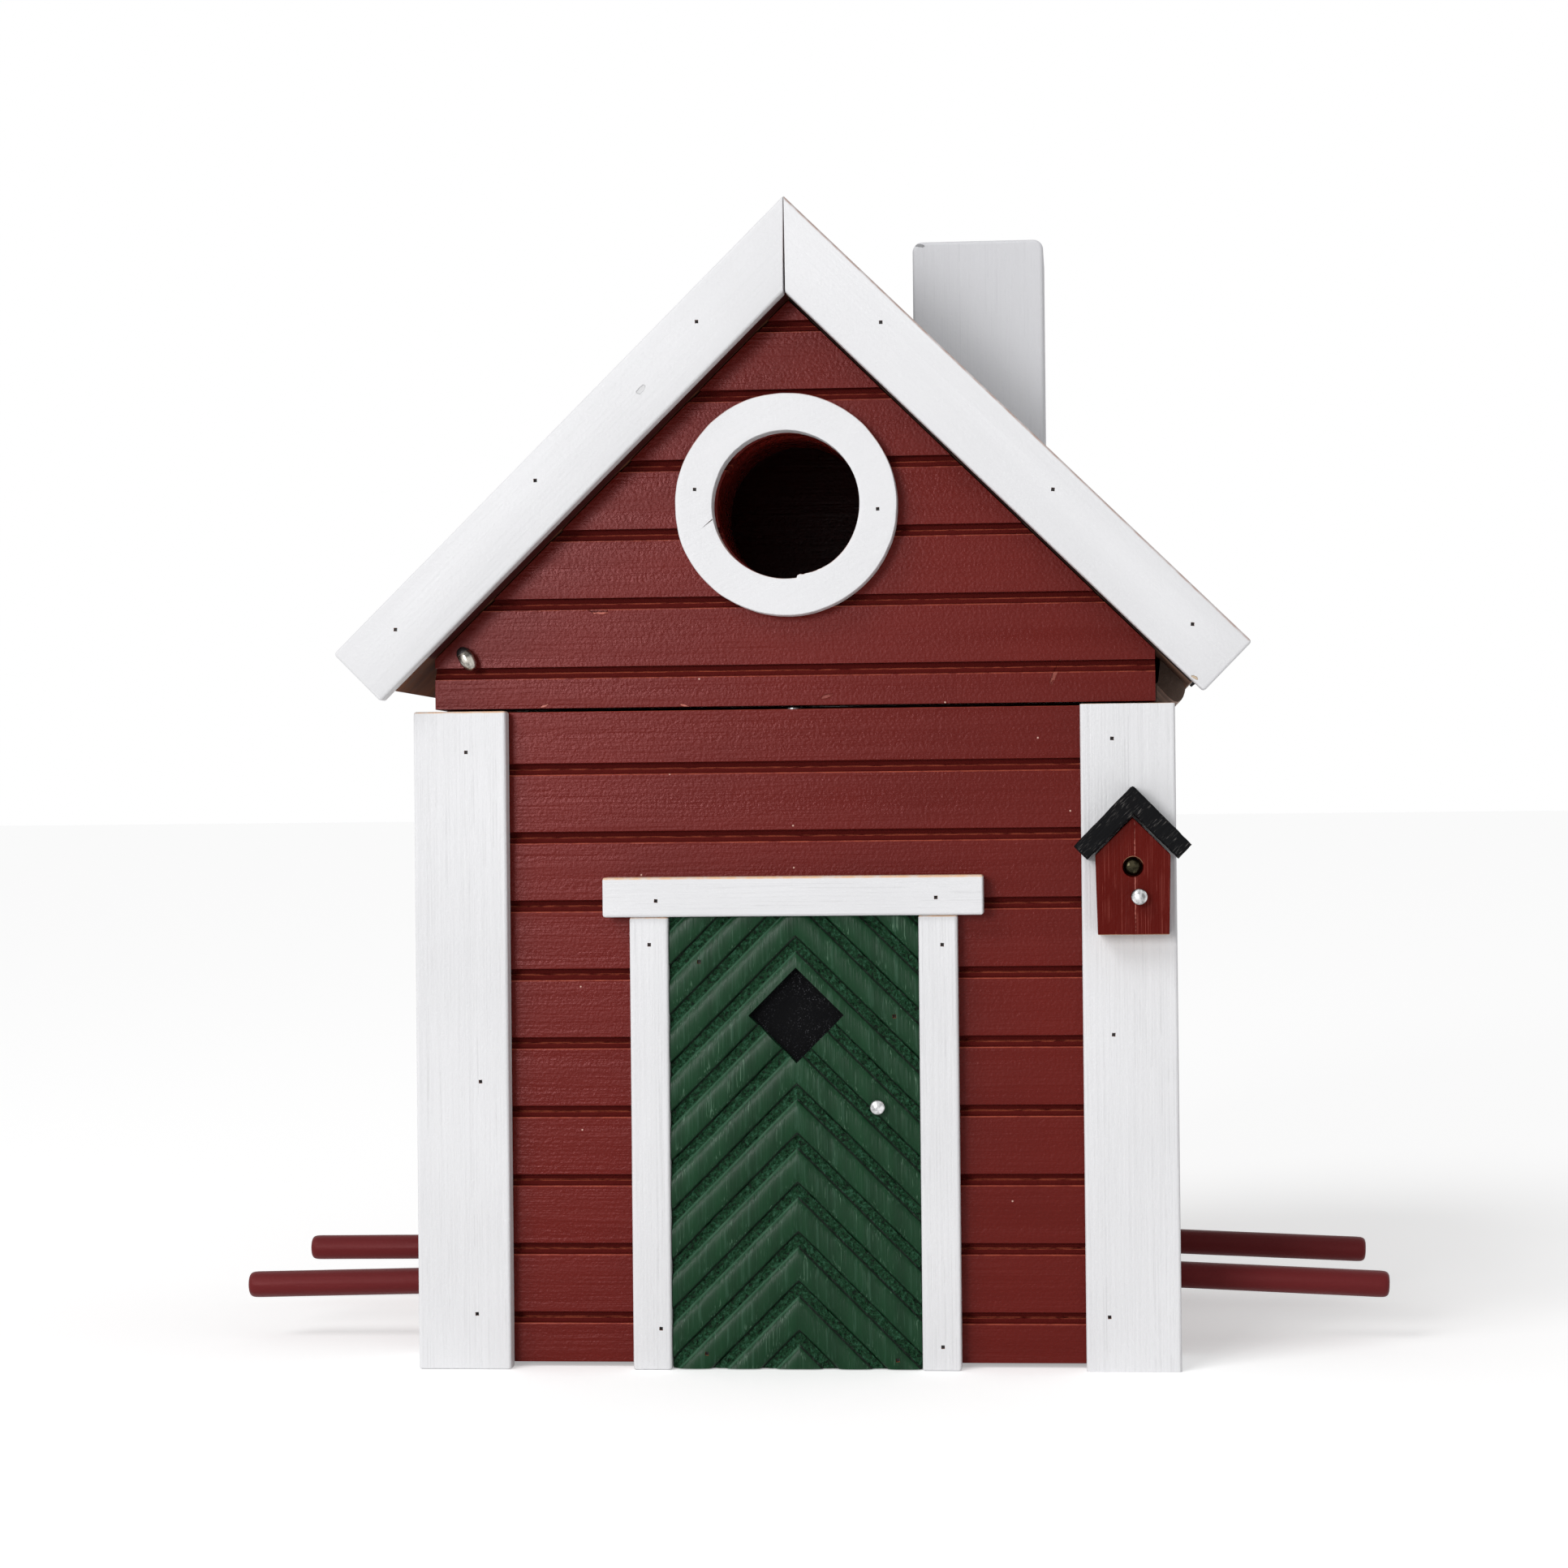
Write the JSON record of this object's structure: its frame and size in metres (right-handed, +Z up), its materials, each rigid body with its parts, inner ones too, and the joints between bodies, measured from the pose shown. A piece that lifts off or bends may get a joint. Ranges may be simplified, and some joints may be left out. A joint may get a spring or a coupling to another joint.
{
  "type": "birdhouse",
  "caption": "Painted wooden birdhouse with grooved siding, a carved door, a hinged roof lid with chimney, a round entrance and side perches.",
  "frame": {"origin": "middle of the footprint at the level that the corner boards stand on", "axes": "+Z up, +Y to the back, +X to the right as seen from the front, so the door and entrance face -Y"},
  "size_m": [0.26, 0.1556, 0.2528],
  "materials": {
    "red_paint": "satin paint",
    "white_paint": "satin paint",
    "green_paint": "satin paint",
    "black_paint": "matte paint",
    "grey_paint": "matte paint",
    "brown_stain": "matte stain",
    "roof_felt": "mineral felt",
    "black_felt": "speckled felt",
    "hinge_rubber": "matte",
    "bright_steel": "polished"
  },
  "bodies": {
    "house": {"front_wall": "red_paint", "rear_wall": "red_paint", "side_wall_left": "red_paint", "side_wall_right": "red_paint", "floor_board": "brown_stain", "corner_front_left": "white_paint", "corner_front_right": "white_paint", "corner_side_left_front": "white_paint", "corner_side_right_front": "white_paint", "corner_side_left_rear": "white_paint", "corner_side_right_rear": "white_paint", "door_panel": "green_paint", "door_window_backing": "black_felt", "door_jamb_left": "white_paint", "door_jamb_right": "white_paint", "door_lintel": "white_paint", "door_knob": "bright_steel", "mini_house_body": "red_paint", "mini_roof_left": "black_paint", "mini_roof_right": "black_paint", "mini_house_screw": "bright_steel", "mini_house_perch": "bright_steel", "perch_left_front": "red_paint", "perch_left_rear": "red_paint", "perch_right_front": "red_paint", "perch_right_rear": "red_paint", "gap_stud": "bright_steel", "hinge_strip_wall": "hinge_rubber"},
    "lid": {"hinge_strip_roof": "hinge_rubber", "front_gable": "red_paint", "entrance_block": "red_paint", "rear_gable": "red_paint", "roof_board_left": "brown_stain", "roof_board_right": "brown_stain", "roof_cover": "roof_felt", "bargeboard_left": "white_paint", "bargeboard_right": "white_paint", "entrance_ring": "white_paint", "chimney": "grey_paint"},
    "pin": {"lock_pin": "bright_steel"}
  },
  "joints": [
    {"name": "lid_hinge", "type": "hinge", "parent": "house", "child": "lid", "pos_m": [0.07959, 0.0078, 0.1452], "axis": [0, 1, 0], "range_deg": [0, 55]},
    {"name": "pin_slide", "type": "slide", "parent": "lid", "child": "pin", "axis": [0, -1, 0], "range_m": [0, 0.016]}
  ]
}
